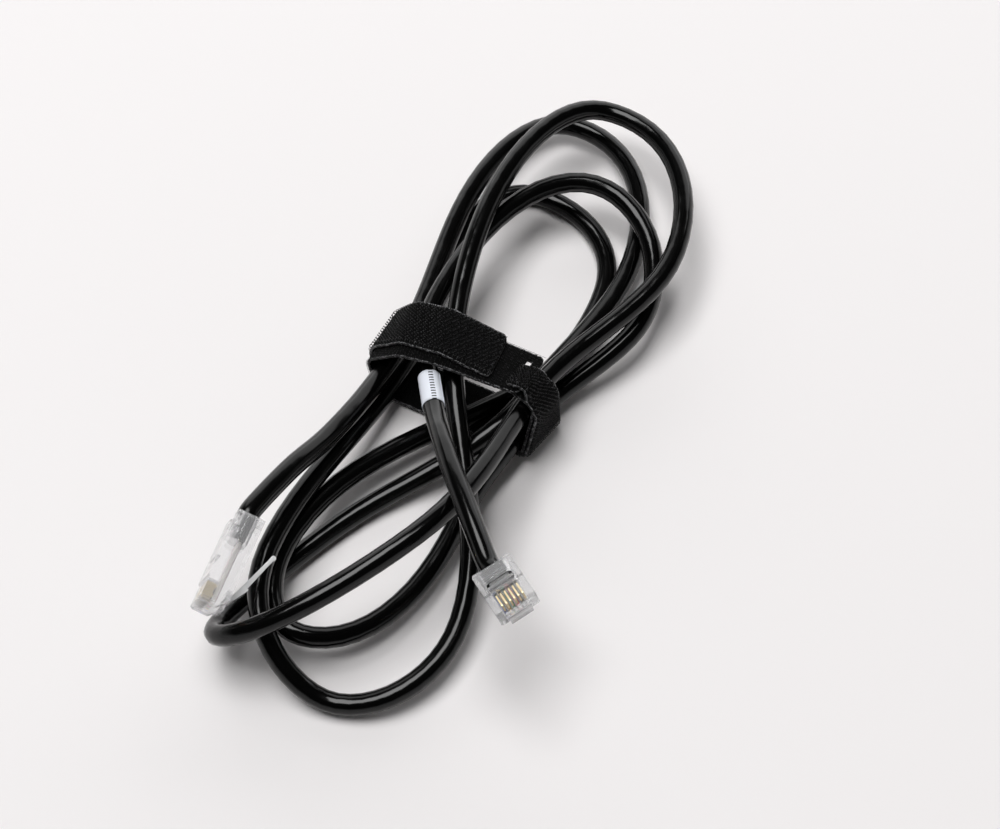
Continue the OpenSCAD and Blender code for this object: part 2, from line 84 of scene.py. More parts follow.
# Matt board: hardly any gloss, with a faint tooth
board, tree = new_material("matt_coated_board")
where = add(tree, "ShaderNodeTexCoord")
tooth = add(
    tree, "ShaderNodeTexNoise", {"Scale": 1 / tooth_size, "Detail": 3.0},
    {"Vector": where.outputs["Object"]},
)
tooth_bump = add(
    tree, "ShaderNodeBump", {"Strength": 0.04, "Distance": 0.2 * mm},
    {"Height": tooth.outputs["Fac"]},
)
shader = add(
    tree, "ShaderNodeBsdfPrincipled",
    {"Base Color": linear("#f4f1f1"), "Roughness": 0.7, "Specular IOR Level": 0.2},
    {"Normal": tooth_bump.outputs[0]},
)
add(tree, "ShaderNodeOutputMaterial", {}, {"Surface": shader.outputs[0]})

ground = bmesh.new()
bmesh.ops.create_grid(ground, x_segments=1, y_segments=1, size=board_half)
bmesh.ops.translate(ground, vec=(0, 0, -board_drop), verts=ground.verts)
floor = object_from("floor", ground, board)

# The cord's points are measured in millimetres from the waist. The frame's origin is the
# middle of the whole part, level with the cut face that the lowest loops lie on.
stand_cut = 0.5
hank_middle = Vector((0.892, -0.055, stand_cut)) * mm


def in_frame(x, y, z):
    return Vector((x, y, z)) * mm - hank_middle


camera_at = in_frame(93.2, -242.3, 444.3)
camera_aim = in_frame(7.6, -0.5, 0)
camera_data = bpy.data.cameras.new("camera")
camera_data.lens = 76.1
camera_data.sensor_width = 36
camera_data.clip_start = 0.01
camera = bpy.data.objects.new("camera", camera_data)
camera.location = camera_at
camera.rotation_euler = (camera_aim - camera_at).to_track_quat("-Z", "Y").to_euler()
bpy.context.scene.collection.objects.link(camera)
bpy.context.scene.camera = camera


def softbox(name, at, aim, size, power):
    """A rectangular lamp aimed at a place, in metres and watts."""
    lamp = bpy.data.lights.new(name, "AREA")
    lamp.shape = "RECTANGLE"
    lamp.size, lamp.size_y = size
    lamp.energy = power
    made = bpy.data.objects.new(name, lamp)
    made.location = at
    made.rotation_euler = (Vector(aim) - Vector(at)).to_track_quat("-Z", "Y").to_euler()
    bpy.context.scene.collection.objects.link(made)


softbox("back_wall", (-0.27, 1.5, 0.66), (0, 0, 0.02), (2.9, 1.3), 17.0)
softbox("main_lamp", (-0.5, 0.1, 2.3), (0, 0, 0), (1.6, 1.3), 49.0)

# Low pale walls all round and a dark ceiling, so that the cord's top stays black and the
# surface ends against something pale
world = bpy.data.worlds.new("studio")
world.use_nodes = True
world.node_tree.nodes.clear()
room = add(world.node_tree, "ShaderNodeTexCoord")
height = add(
    world.node_tree, "ShaderNodeSeparateXYZ", {}, {"Vector": room.outputs["Generated"]},
)
wall_level = add(
    world.node_tree, "ShaderNodeMapRange",
    {"From Min": 0.12, "From Max": 0.34, "To Min": 0.8, "To Max": 0.03},
    {"Value": height.outputs[2]},
)
sky = add(
    world.node_tree, "ShaderNodeBackground", {"Color": linear("#ffffff")},
    {"Strength": wall_level.outputs[0]},
)
add(world.node_tree, "ShaderNodeOutputWorld", {}, {"Surface": sky.outputs[0]})
bpy.context.scene.world = world
bpy.context.scene.view_settings.view_transform = "Standard"

# The cord. A round black PVC jacket of 5 mm over six wires, 1.4 m from plug to plug,
# folded into seven loops. The jacket is extruded, so it is glossy and even.

cord_d = 5 * mm
cord_r = cord_d / 2
fine_steps = 96
tail_steps = 8
smooth_passes = 8
line_passes = 2
peel_size = 1.43 * mm
wave_size = 11.1 * mm

# Where the cord passes the waist: x, y, z, lean from +Y toward +X, climb toward +Y
passes = [
    (-19.2, 0, 12, 8, -6),
    (14.2, 0, 10.5, 14, 1.5),
    (16.2, 0, 16, 11, -7),
    (-4.5, 0, 18.5, -19, 0),
    (-17.6, 0, 6, 5, -8),
    (8, 0, 5.6, 44, 0),
    (17, 0, 5.5, 18, 0),
    (-11, 0, 18.5, -22, -15),
]

# The loops between the passes: side, lean, way in, tip and way out
loops = [
    (1, 0, (-20, 46, 9), (-1.5, 85.5, 4.5), (25.5, 48, 6.5)),
    (-1, 31, (-17, -42, 2.5), (-31, -82.5, 13.5), (6.3, -50, 28)),
    (1, 0, (36.5, 47, 17.5), (8, 85, 15), (-11, 43, 21)),
    (-1, 0, (19, -59.5, 7), (-4, -85.5, 2.5), (-27.5, -60.5, 15.5)),
    (1, 0, (-19.5, 41, 3), (-4, 62.5, 2.5), (21, 40, 2.5)),
    (-1, 0, (-26, -56, 9.5), (-14.5, -74.5, 9), (9, -34, 4.8)),
    (1, 0, (34, 33.5, 10.5), (11, 63, 14.5), (-14.9, 13, 15.6)),
]

# Points of the two tails, and the back of each plug with its yaw and pitch
eight_tail = [(-21.6, -17.8, 16), (-24.4, -30.7, 19.5), (-27.8, -42, 23.4)]
six_tail = [(-2.8, -16.8, 23.8), (3.2, -26.8, 28.8), (9.5, -36, 31.8), (17, -45.8, 33)]
eight_at, eight_yaw, eight_pitch = in_frame(-31.3, -58.8, 26), 179, -4
six_at, six_yaw, six_pitch = in_frame(25.5, -55.7, 33.3), -132, 11
tail_straight = 0.6 * cord_d


def pass_at(i):
    return in_frame(*passes[i][:3])


def way_of(lean, climb):
    """The way of something that runs toward +Y, leans toward +X and climbs, in degrees."""
    lean, climb = radians(lean), radians(climb)
    return Vector((cos(climb) * sin(lean), cos(climb) * cos(lean), sin(climb)))


def pass_way(i):
    return way_of(*passes[i][3:])


def run(start, start_way, end, end_way, t):
    """From start to end, as t goes from 0 to 1, with the cord's way set at both."""
    reach = (end - start).length
    return (
        (2 * t ** 3 - 3 * t ** 2 + 1) * start + (t ** 3 - 2 * t ** 2 + t) * reach * start_way
        + (3 * t ** 2 - 2 * t ** 3) * end + (t ** 3 - t ** 2) * reach * end_way
    )


def quarter_turn(side_point, tip, way, t):
    """From one side of a loop to its tip, on a quarter of an ellipse."""
    centre = tip - (tip - side_point).dot(way) * way
    return centre + (side_point - centre) * cos(t * pi / 2) + (tip - centre) * sin(t * pi / 2)


def loop_point(i, q):
    """A point of loop i, at q from 0 to 4: out, round to the tip, round again, home."""
    side, lean, way_in, tip, way_out = loops[i]
    way = side * way_of(lean, 0)
    way_in, tip, way_out = in_frame(*way_in), in_frame(*tip), in_frame(*way_out)
    if q < 1:
        return run(pass_at(i), side * pass_way(i), way_in, way, q)
    if q < 2:
        return quarter_turn(way_in, tip, way, q - 1)
    if q < 3:
        return quarter_turn(way_out, tip, way, 3 - q)
    return run(pass_at(i + 1), side * pass_way(i + 1), way_out, way, 4 - q)


def smoothed(points, times):
    """Points, or widths, each drawn toward its neighbours a number of times."""
    for _ in range(times):
        points = (
            [points[0]]
            + [(a + 2 * b + c) / 4 for a, b, c in zip(points, points[1:], points[2:])]
            + [points[-1]]
        )
    return points


def through(points, steps):
    """A smooth line through points, with steps between each two."""
    ends = [2 * points[0] - points[1]] + points + [2 * points[-1] - points[-2]]
    line = []
    for a, b, c, d in zip(ends, ends[1:], ends[2:], ends[3:]):
        for s in range(steps):
            t = s / steps
            line.append(0.5 * (
                2 * b + (c - a) * t + (2 * a - 5 * b + 4 * c - d) * t ** 2
                + (3 * b - a - 3 * c + d) * t ** 3
            ))
    return line + [points[-1]]


last_pass = len(passes) - 1
hank = smoothed(
    [loop_point(i, 4 * s / fine_steps) for i in range(len(loops)) for s in range(fine_steps)]
    + [pass_at(last_pass)],
    smooth_passes,
)
hank_start = pass_at(0) - cord_d * pass_way(0)
hank_end = pass_at(last_pass) - cord_d * pass_way(last_pass)
eight_line = through(
    [hank_start] + [in_frame(*point) for point in eight_tail]
    + [eight_at - tail_straight * way_of(-eight_yaw, eight_pitch), eight_at],
    tail_steps,
)
six_line = through(
    [hank_end] + [in_frame(*point) for point in six_tail]
    + [six_at - tail_straight * way_of(-six_yaw, six_pitch), six_at],
    tail_steps,
)

# Every second point of the hank is enough, and no turn sinks into the surface
cord_line = eight_line[::-1] + hank[::2] + six_line
cord_line = smoothed([Vector((p.x, p.y, max(p.z, cord_r))) for p in cord_line], line_passes)

# Extruded PVC: near black and polished, with a faint peel of about 1.4 mm and slow waves
# of about 11 mm that bend its highlights
pvc, tree = new_material("glossy_black_pvc_jacket")
where = add(tree, "ShaderNodeTexCoord")
peel = add(
    tree, "ShaderNodeTexNoise", {"Scale": 1 / peel_size, "Detail": 2.0},
    {"Vector": where.outputs["Object"]},
)
wave = add(
    tree, "ShaderNodeTexNoise", {"Scale": 1 / wave_size, "Detail": 2.0},
    {"Vector": where.outputs["Object"]},
)
peel_bump = add(
    tree, "ShaderNodeBump", {"Strength": 0.08, "Distance": 0.1 * mm},
    {"Height": peel.outputs["Fac"]},
)
wave_bump = add(
    tree, "ShaderNodeBump", {"Strength": 0.5, "Distance": 0.6 * mm},
    {"Height": wave.outputs["Fac"], "Normal": peel_bump.outputs[0]},
)
polish = add(
    tree, "ShaderNodeMapRange", {"From Min": 0.3, "From Max": 0.7, "To Min": 0.12, "To Max": 0.18},
    {"Value": wave.outputs["Fac"]},
)
shader = add(
    tree, "ShaderNodeBsdfPrincipled",
    {"Base Color": linear("#030303"), "IOR": 1.53, "Specular IOR Level": 0.3},
    {"Roughness": polish.outputs[0], "Normal": wave_bump.outputs[0]},
)
add(tree, "ShaderNodeOutputMaterial", {}, {"Surface": shader.outputs[0]})

cord_curve = bpy.data.curves.new("jacketed_cord", "CURVE")
cord_curve.dimensions = "3D"
cord_curve.bevel_depth = cord_r
cord_curve.bevel_resolution = 6
cord_curve.use_fill_caps = True
spline = cord_curve.splines.new("POLY")
spline.points.add(len(cord_line) - 1)
for point, place in zip(spline.points, cord_line):
    point.co = (*place, 1)
cord_curve.materials.append(pvc)
cord = bpy.data.objects.new("jacketed_cord", cord_curve)
bpy.context.scene.collection.objects.link(cord)
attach(cord, "cord")
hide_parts("cable_hank", "eight_way_tail", "six_way_tail")

# The tie. A hook-and-loop cinch strap of woven nylon 12.7 mm wide, loops on one face and
# hooks on the other. Its slotted head lies on the cords; the band goes round the waist,
# through the slot, folds back over the head and is pressed down on its own first turn.

tie_width = 12.7 * mm
tie_thickness = 0.9 * mm
cloth_thickness = 0.7 * mm
tie_gap = 0.15 * mm
tie_clear = 0.2 * mm
tie_end_radius = 1.6 * mm
tie_slot_length = 7.6 * mm
tie_slot_half = tie_thickness / 2 + 2 * tie_gap
tie_slot_shift = 0.4 * mm
bend_steps = 8
row_step = 0.4 * mm
row_passes = 4
edge_passes = 20
tie_columns = 32
edge_rag = 0.3 * mm
rag_per_row = 0.9
rag_between_edges = 8

# A turn against the band's own sense up to this angle is kept as it is
slack_turn = radians(25)

# Two layers of cloth pass under the lowest bends
tie_low_z = stand_cut + (2 * tie_thickness + tie_gap + tie_clear + cord_r) / mm

# Each bend, in millimetres and degrees: x and z of its centre, the band's middle along the
# bend, the bend's lean and climb, the layer from the cords out, and how far both edges are
# drawn in. The fold through the slot takes its height from the head.
tie_head = (15.4, 16.9, -0.8, 14, -8, 1.2, 0)
tie_first = [
    (-7.5, 21.2, 0.1, -4, 0, 0, 0), (-14.5, 19.2, 0.4, 2, -2, 0, 0),
    (-20.2, 13, 0.8, 9, -4, 0, 0), (-18.6, tie_low_z, 0, 6, 0, 0, 0),
    (17.5, tie_low_z, -4, 20, 0, 0, 0), (17.1, 16.9, -3, 14, -10, 0, 1.6),
]
tie_slot = (13.2, -2, 14, -8, 2.9)
tie_second = [
    (15.4, 17.1, -2.6, 14, -9, 2.4, 2.6), (17.3, 16.5, -4, 14, -10, 1.3, 1.4),
    (17.5, tie_low_z, -4, 20, 0, 1, 0), (-18.6, tie_low_z, 1, 6, 0, 1, 0),
    (-20.2, 13, 3.8, 9, -4, 1.1, 0), (-14.5, 19.2, 3.3, 2, -2, 1.15, 0),
    (-7.5, 21.2, 2.6, -4, 0, 1.1, 0),
]
tie_end = (6.4, 19.1, 0.8, 2, -4, 1.25, 0)


def layer_radius(layer):
    return (cord_r + tie_clear + tie_thickness / 2 + layer * (tie_thickness + tie_gap)) / mm


def outward(a, b, side):
    """The outward side of a stretch from a to b, clockwise seen from -Y if side is 1."""
    return atan2(side * (b[0] - a[0]), side * (a[1] - b[1]))


def band_row(bend, angle, radius):
    """The middle of the band at a bend, its way across and half its width."""
    x, z, middle, lean, climb, _, drawn_in = bend
    axis = way_of(lean, climb)
    right = Vector((cos(radians(lean)), -sin(radians(lean)), 0))
    out = cos(angle) * right + sin(angle) * right.cross(axis)
    place = Vector((x, 0, z)) + middle * axis + radius * out
    return in_frame(*place), axis, tie_width / 2 - drawn_in * mm


def turned(start, end, side):
    """How far the band turns from one outward side to the next, clockwise if side is 1."""
    swing = (end - start) % (2 * pi)
    return swing - 2 * pi if side > 0 and swing > slack_turn else swing


def turn_rows(bend, start, swing, radius):
    return [band_row(bend, start + swing * s / bend_steps, radius) for s in range(bend_steps + 1)]


def bend_rows(bends, side):
    """Rows round each bend of a list whose first and last items only give directions."""
    rows = []
    for before, bend, after in zip(bends, bends[1:], bends[2:]):
        start = outward(before, bend, side)
        swing = turned(start, outward(bend, after, side), side)
        rows += turn_rows(bend, start, swing, layer_radius(bend[5]))
    return rows


# The fold through the slot, round the bar at the end of the head
fold_radius = (tie_thickness + 2 * tie_gap) / mm
head_row = band_row(tie_head, pi / 2, layer_radius(tie_head[5]))
joins_row = band_row(tie_first[0], pi / 2, layer_radius(0))
head_place = (head_row[0] + hank_middle) / mm
joins_place = (joins_row[0] + hank_middle) / mm
slot_share = (tie_slot[0] - joins_place.x) / (head_place.x - joins_place.x)
bar_z = (
    joins_place.z + slot_share * (head_place.z - joins_place.z)
    - tie_head[2] * sin(radians(tie_head[4]))
)
slot_bend = (tie_slot[0], bar_z, tie_slot[1], tie_slot[2], tie_slot[3], 0, tie_slot[4])
slot_in, slot_out = (tie_slot[0], bar_z - fold_radius), (tie_slot[0], bar_z + fold_radius)
rise = (tie_first[-1][0], tie_first[-1][1] + layer_radius(0))
over_radius = layer_radius(tie_second[0][5])
over = (tie_second[0][0], tie_second[0][1] + over_radius)
slot_start = outward(rise, slot_in, 1)
slot_swing = turned(slot_start, outward(slot_out, over, 1), 1)
second_start = (slot_out[0], slot_out[1] - over_radius)

first_rows = bend_rows([tie_head] + tie_first + [slot_in], -1)
slot_rows = turn_rows(slot_bend, slot_start, slot_swing, fold_radius)
second_rows = bend_rows([second_start] + tie_second + [tie_end], 1)
end_row = band_row(tie_end, outward(tie_second[-1], tie_end, 1), layer_radius(tie_end[5]))
tie_rows = [head_row] + first_rows + slot_rows + second_rows + [end_row]


def even_rows(rows, spacing):
    """Rows a fixed distance apart on the line through the middles of rows."""
    made, left = [rows[0]], spacing
    for (a, a_axis, a_half), (b, b_axis, b_half) in zip(rows, rows[1:]):
        reach, done = (b - a).length, 0.0
        while reach - done >= left:
            done += left
            t = done / reach
            half = a_half + (b_half - a_half) * t
            made.append((a.lerp(b, t), a_axis.lerp(b_axis, t).normalized(), half))
            left = spacing
        left -= reach - done
    return made


tie_path = even_rows(tie_rows, row_step)
last_row = len(tie_path) - 1
tie_length = row_step * last_row
soft_middles = smoothed([row[0] for row in tie_path], row_passes)
soft_halves = smoothed([row[2] for row in tie_path], edge_passes)
slot_along = (head_row[0] - in_frame(tie_slot[0], 0, head_place.z)).x + tie_slot_shift

# Woven nylon: matt black yarn with a few pale fibres, and whipped stitches that show as
# pale dots within 0.3 mm of each edge. The fibres' fuzz is drawn coarse enough to show.
rib_spacing = 0.7 * mm
pick_spacing = 0.5 * mm
stitch_zone = 0.3 * mm
fuzz_size = 0.385 * mm
nylon, tree = new_material("woven_nylon_hook_and_loop")
where = add(tree, "ShaderNodeUVMap", {"uv_map": "cloth"})
split = add(tree, "ShaderNodeSeparateXYZ", {}, {"Vector": where.outputs[0]})
spot = add(tree, "ShaderNodeTexCoord")
fuzz = add(
    tree, "ShaderNodeTexNoise", {"Scale": 1 / fuzz_size, "Detail": 3.0},
    {"Vector": spot.outputs["Object"]},
)
rib_turn = add(
    tree, "ShaderNodeMath", {"operation": "MULTIPLY", 1: 2 * pi / rib_spacing},
    {0: split.outputs[0]},
)
rib = add(tree, "ShaderNodeMath", {"operation": "SINE"}, {0: rib_turn.outputs[0]})
pick_turn = add(
    tree, "ShaderNodeMath", {"operation": "MULTIPLY", 1: 2 * pi / pick_spacing},
    {0: split.outputs[1]},
)
pick = add(tree, "ShaderNodeMath", {"operation": "SINE"}, {0: pick_turn.outputs[0]})
weave = add(
    tree, "ShaderNodeMath", {"operation": "MULTIPLY"}, {0: rib.outputs[0], 1: pick.outputs[0]},
)
rough_weave = add(
    tree, "ShaderNodeMath", {"operation": "MULTIPLY_ADD", 1: 0.25},
    {0: weave.outputs[0], 2: fuzz.outputs["Fac"]},
)
cloth_bump = add(
    tree, "ShaderNodeBump", {"Strength": 1.0, "Distance": 0.3 * mm},
    {"Height": rough_weave.outputs[0]},
)
pale_fibre = add(
    tree, "ShaderNodeMapRange", {"From Min": 0.62, "From Max": 0.86},
    {"Value": rough_weave.outputs[0]},
)
off_middle = add(tree, "ShaderNodeMath", {"operation": "ABSOLUTE"}, {0: split.outputs[1]})
edge_zone = add(
    tree, "ShaderNodeMath", {"operation": "GREATER_THAN", 1: tie_width / 2 - stitch_zone},
    {0: off_middle.outputs[0]},
)
stitch = add(
    tree, "ShaderNodeMapRange", {"From Min": 0.47, "From Max": 0.6}, {"Value": fuzz.outputs["Fac"]},
)
edge_stitch = add(
    tree, "ShaderNodeMath", {"operation": "MULTIPLY"},
    {0: edge_zone.outputs[0], 1: stitch.outputs[0]},
)
yarn_colour = add(
    tree, "ShaderNodeMix", {"data_type": "RGBA", 6: linear("#030303"), 7: linear("#2a2a2b")},
    {0: pale_fibre.outputs[0]},
)
edge_colour = add(
    tree, "ShaderNodeMix", {"data_type": "RGBA", 7: linear("#8a8a8c")},
    {0: edge_stitch.outputs[0], 6: yarn_colour.outputs[2]},
)
shader = add(
    tree, "ShaderNodeBsdfPrincipled", {"Roughness": 0.9, "Specular IOR Level": 0.1},
    {"Base Color": edge_colour.outputs[2], "Normal": cloth_bump.outputs[0]},
)
add(tree, "ShaderNodeOutputMaterial", {}, {"Surface": shader.outputs[0]})

# The band is cut with heat, which leaves black beads between the pale ends of fibres
bead_size = 0.714 * mm
cut_edge, tree = new_material("heat_cut_nylon_edge")
where = add(tree, "ShaderNodeTexCoord")
bead = add(
    tree, "ShaderNodeTexNoise", {"Scale": 1 / bead_size, "Detail": 2.0},
    {"Vector": where.outputs["Object"]},
)
bead_bump = add(
    tree, "ShaderNodeBump", {"Strength": 0.6, "Distance": 0.2 * mm},
    {"Height": bead.outputs["Fac"]},
)
fibre_end = add(
    tree, "ShaderNodeMapRange", {"From Min": 0.53, "From Max": 0.64}, {"Value": bead.outputs["Fac"]},
)
cut_colour = add(
    tree, "ShaderNodeMix", {"data_type": "RGBA", 6: linear("#0b0b0b"), 7: linear("#747476")},
    {0: fibre_end.outputs[0]},
)
shader = add(
    tree, "ShaderNodeBsdfPrincipled", {"Roughness": 0.6},
    {"Base Color": cut_colour.outputs[2], "Normal": bead_bump.outputs[0]},
)
add(tree, "ShaderNodeOutputMaterial", {}, {"Surface": shader.outputs[0]})

# The band is a flat grid, slotted near one end and then laid along its rows. Its ends are
# rounded and its outermost threads a little ragged.
edge_column = 0.5 - 0.5 / tie_columns
band = bmesh.new()
bmesh.ops.create_grid(band, x_segments=last_row, y_segments=tie_columns, size=0.5)
cloth_uv = band.loops.layers.uv.new("cloth")
slot_faces = []
for face in band.faces:
    for corner in face.loops:
        along, across = corner.vert.co.x + 0.5, corner.vert.co.y
        corner[cloth_uv].uv = (along * tie_length, across * tie_width)
    middle = face.calc_center_median()
    from_slot = abs((middle.x + 0.5) * tie_length - slot_along)
    if from_slot < tie_slot_half and abs(middle.y) * tie_width < tie_slot_length / 2:
        slot_faces.append(face)
bmesh.ops.delete(band, geom=slot_faces, context="FACES")
for vert in band.verts:
    row = round((vert.co.x + 0.5) * last_row)
    to_end = min(row, last_row - row) * row_step
    in_corner = max(tie_end_radius - to_end, 0)
    half = soft_halves[row] - tie_end_radius + (tie_end_radius ** 2 - in_corner ** 2) ** 0.5
    if abs(vert.co.y) > edge_column:
        rag_at = Vector((rag_per_row * row, rag_between_edges * vert.co.y, 0))
        half += edge_rag * noise.noise(rag_at)
    vert.co = soft_middles[row] + tie_path[row][1] * vert.co.y * 2 * half
bmesh.ops.recalc_face_normals(band, faces=band.faces)
tie = object_from("tie_cloth", band, nylon)
tie.data.materials.append(cut_edge)
thickness = tie.modifiers.new("thickness", "SOLIDIFY")
thickness.thickness = cloth_thickness
thickness.offset = 0
thickness.material_offset_rim = 1
for face in tie.data.polygons:
    face.use_smooth = True
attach(tie, "cord")
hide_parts("tie_strap")

# The two faces of the cloth. Nylon hooks stand in staggered rows on the face that is
# outside after the slot, and fine knitted loops on the face that is outside before it.
# Both are woven in, so their feet are a little inside the cloth.

hook_columns = 24
hook_rows_apart = 3
hook_spread = 0.96
hook_foot = 0.3 * mm
hook_radius = 0.085 * mm
hook_floor = 0.1 * mm
edge_hook_lean = 2.4
loop_count = 2600
loop_spread = 0.97
loop_past_edge = 1.02
edge_loop_every = 4
loop_foot = 0.33 * mm
loop_radius = 0.035 * mm
loop_floor = 0.05 * mm

# A hook's points: out of the cloth and along its lean. A loop's: across and out. In mm.
hook_shape = [(0, 0), (0.4, 0), (0.62, 0.12), (0.5, 0.32)]
loop_shape = [(-0.12, 0), (-0.2, 0.14), (0, 0.24), (0.2, 0.14), (0.12, 0)]

# Multiples of these shares of 1, and of this angle, never line up
even_along, even_across, even_turn = 0.6180340, 0.7548777, 2.4


def pile(name, strands, radius, material):
    """Thin strands, each a short line of points, as one piece."""
    data = bpy.data.curves.new(name, "CURVE")
    data.dimensions = "3D"
    data.bevel_depth = radius
    data.bevel_resolution = 0
    for strand in strands:
        line = data.splines.new("POLY")
        line.points.add(len(strand) - 1)
        for point, place in zip(line.points, strand):
            point.co = (*place, 1)
    data.materials.append(material)
    made = bpy.data.objects.new(name, data)
    bpy.context.scene.collection.objects.link(made)
    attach(made, "cord")


def on_cloth(row, across):
    """A place on the middle of the cloth, with the ways along it and out of it."""
    before, after = soft_middles[max(row - 1, 0)], soft_middles[min(row + 1, last_row)]
    way, axis = (after - before).normalized(), tie_path[row][1]
    return soft_middles[row] + axis * across * soft_halves[row], way, way.cross(axis).normalized()


# Nylon monofilament: drawn and heat-set and near black. The grey on strands here and there is a
# painted sheen, standing in for light that grazes the hooks.
sheen_spot_size = 1.11 * mm
monofilament, tree = new_material("black_nylon_monofilament")
where = add(tree, "ShaderNodeTexCoord")
sheen_spots = add(
    tree, "ShaderNodeTexNoise", {"Scale": 1 / sheen_spot_size}, {"Vector": where.outputs["Object"]},
)
# Painted sheen: strands turn grey where this noise is high, in place of light grazing them
painted_sheen = add(
    tree, "ShaderNodeMapRange", {"From Min": 0.52, "From Max": 0.74}, {"Value": sheen_spots.outputs["Fac"]},
)
strand_colour_with_sheen = add(
    tree, "ShaderNodeMix", {"data_type": "RGBA", 6: linear("#030303"), 7: linear("#464648")},
    {0: painted_sheen.outputs[0]},
)
shader = add(
    tree, "ShaderNodeBsdfPrincipled", {"Roughness": 0.45}, {"Base Color": strand_colour_with_sheen.outputs[2]},
)
add(tree, "ShaderNodeOutputMaterial", {}, {"Surface": shader.outputs[0]})

# The loops end and the hooks start just past the middle of the fold. The outermost hooks
# lean out over the edge, every fourth loop stands just past an edge, and what would reach
# the surface under the band is left out.
to_fold = [row[0] for row in [head_row] + first_rows + slot_rows[:bend_steps // 2 + 2]]
fold_row = round(sum((b - a).length for a, b in zip(to_fold, to_fold[1:])) / row_step)

hooks = []
for row in range(fold_row, last_row, hook_rows_apart):
    for column in range(hook_columns):
        staggered = min(row + column % hook_rows_apart, last_row - 1)
        across = hook_spread * (2 * (column + 0.5) / hook_columns - 1)
        foot, way, out = on_cloth(staggered, across)
        foot += out * hook_foot
        lean = way if (7 * column + row) % 5 < 3 else -way
        if column in (0, hook_columns - 1):
            lean = way.cross(out) * (edge_hook_lean if column else -edge_hook_lean)
        hook = [foot + (up * out + aside * lean) * mm for up, aside in hook_shape]
        if min(place.z for place in hook) > hook_floor:
            hooks.append(hook)
pile("nylon_hooks", hooks, hook_radius, monofilament)

knitted_loops = []
for i in range(loop_count):
    row = 1 + int(i * even_along % 1 * (fold_row - 2))
    across = loop_spread * (2 * (i * even_across % 1) - 1)
    if i % edge_loop_every == 0:
        across = loop_past_edge if i % (2 * edge_loop_every) else -loop_past_edge
    foot, way, out = on_cloth(row, across)
    foot -= out * loop_foot
    flat = way * cos(i * even_turn) + way.cross(out) * sin(i * even_turn)
    loop = [foot + (aside * flat - up * out) * mm for aside, up in loop_shape]
    if min(place.z for place in loop) > loop_floor:
        knitted_loops.append(loop)
pile("nylon_loops", knitted_loops, loop_radius, monofilament)

# The label. A strip of white coated paper wrapped once round the cord and stuck to
# itself with a short overlap. Its face carries one row of plain ticks.

label_from = 4.2 * mm
label_length = 10 * mm
label_radius = cord_r + 0.1 * mm
label_turns = 1.12
label_lift = 0.1 * mm
label_seam = radians(-20)
paper_thickness = 0.08 * mm
grain_size = 0.833 * mm
tick_spacing = 0.9 * mm
tick_width = 0.4 * mm
tick_length = 1.1 * mm
ticks_from_seam = 4.6 * mm

# Coated paper: bluish white and smooth, with dark print
paper, tree = new_material("white_coated_label_paper")
where = add(tree, "ShaderNodeTexCoord")
grain = add(
    tree, "ShaderNodeTexNoise", {"Scale": 1 / grain_size, "Detail": 2.0},
    {"Vector": where.outputs["Object"]},
)
grain_bump = add(
    tree, "ShaderNodeBump", {"Strength": 0.08, "Distance": 0.1 * mm},
    {"Height": grain.outputs["Fac"]},
)
print_map = add(tree, "ShaderNodeUVMap", {"uv_map": "label"})
print_at = add(tree, "ShaderNodeSeparateXYZ", {}, {"Vector": print_map.outputs[0]})
from_tick = add(
    tree, "ShaderNodeMath", {"operation": "PINGPONG", 1: tick_spacing / 2},
    {0: print_at.outputs[1]},
)
in_tick = add(
    tree, "ShaderNodeMath", {"operation": "LESS_THAN", 1: tick_width / 2},
    {0: from_tick.outputs[0]},
)
in_row = add(
    tree, "ShaderNodeMath", {"operation": "COMPARE", 1: ticks_from_seam, 2: tick_length / 2},
    {0: print_at.outputs[0]},
)
ticks = add(
    tree, "ShaderNodeMath", {"operation": "MULTIPLY"}, {0: in_tick.outputs[0], 1: in_row.outputs[0]},
)
print_colour = add(
    tree, "ShaderNodeMix", {"data_type": "RGBA", 6: linear("#dfe3ec"), 7: linear("#26262a")},
    {0: ticks.outputs[0]},
)
shader = add(
    tree, "ShaderNodeBsdfPrincipled", {"Roughness": 0.42},
    {"Base Color": print_colour.outputs[2], "Normal": grain_bump.outputs[0]},
)
add(tree, "ShaderNodeOutputMaterial", {}, {"Surface": shader.outputs[0]})

label_way = (in_frame(*six_tail[0]) - hank_end).normalized()
on_tail = label_way.to_track_quat("Z", "Y").to_matrix().to_4x4()
on_tail.translation = hank_end + label_way * label_from
wrap = bmesh.new()
bmesh.ops.create_grid(wrap, x_segments=72, y_segments=12, size=0.5)
label_uv = wrap.loops.layers.uv.new("label")
for face in wrap.faces:
    for corner in face.loops:
        turns, along = (corner.vert.co.x + 0.5) * label_turns, corner.vert.co.y + 0.5
        corner[label_uv].uv = (turns * 2 * pi * label_radius, along * label_length)
for vert in wrap.verts:
    turns, along = (vert.co.x + 0.5) * label_turns, vert.co.y + 0.5
    angle, radius = turns * 2 * pi + label_seam, label_radius + turns * label_lift
    vert.co = on_tail @ Vector((radius * cos(angle), radius * sin(angle), along * label_length))
bmesh.ops.recalc_face_normals(wrap, faces=wrap.faces)
label = object_from("label_paper_wrap", wrap, paper)
thickness = label.modifiers.new("thickness", "SOLIDIFY")
thickness.thickness = paper_thickness
for face in label.data.polygons:
    face.use_smooth = True
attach(label, "cord")
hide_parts("label_wrap")

# The plug mouldings. Clear polycarbonate, injection moulded in polished steel tools,
# with edges of about a tenth of a millimetre. The latch levers hang on the same moulding
# and are whiter, as bent polycarbonate is.

flow_size = 3.85 * mm
shell_edge = 0.08 * mm
lever_edge = 0.12 * mm
weld_distance = 0.002 * mm
flat_within = radians(2)
sharp_over = radians(40)


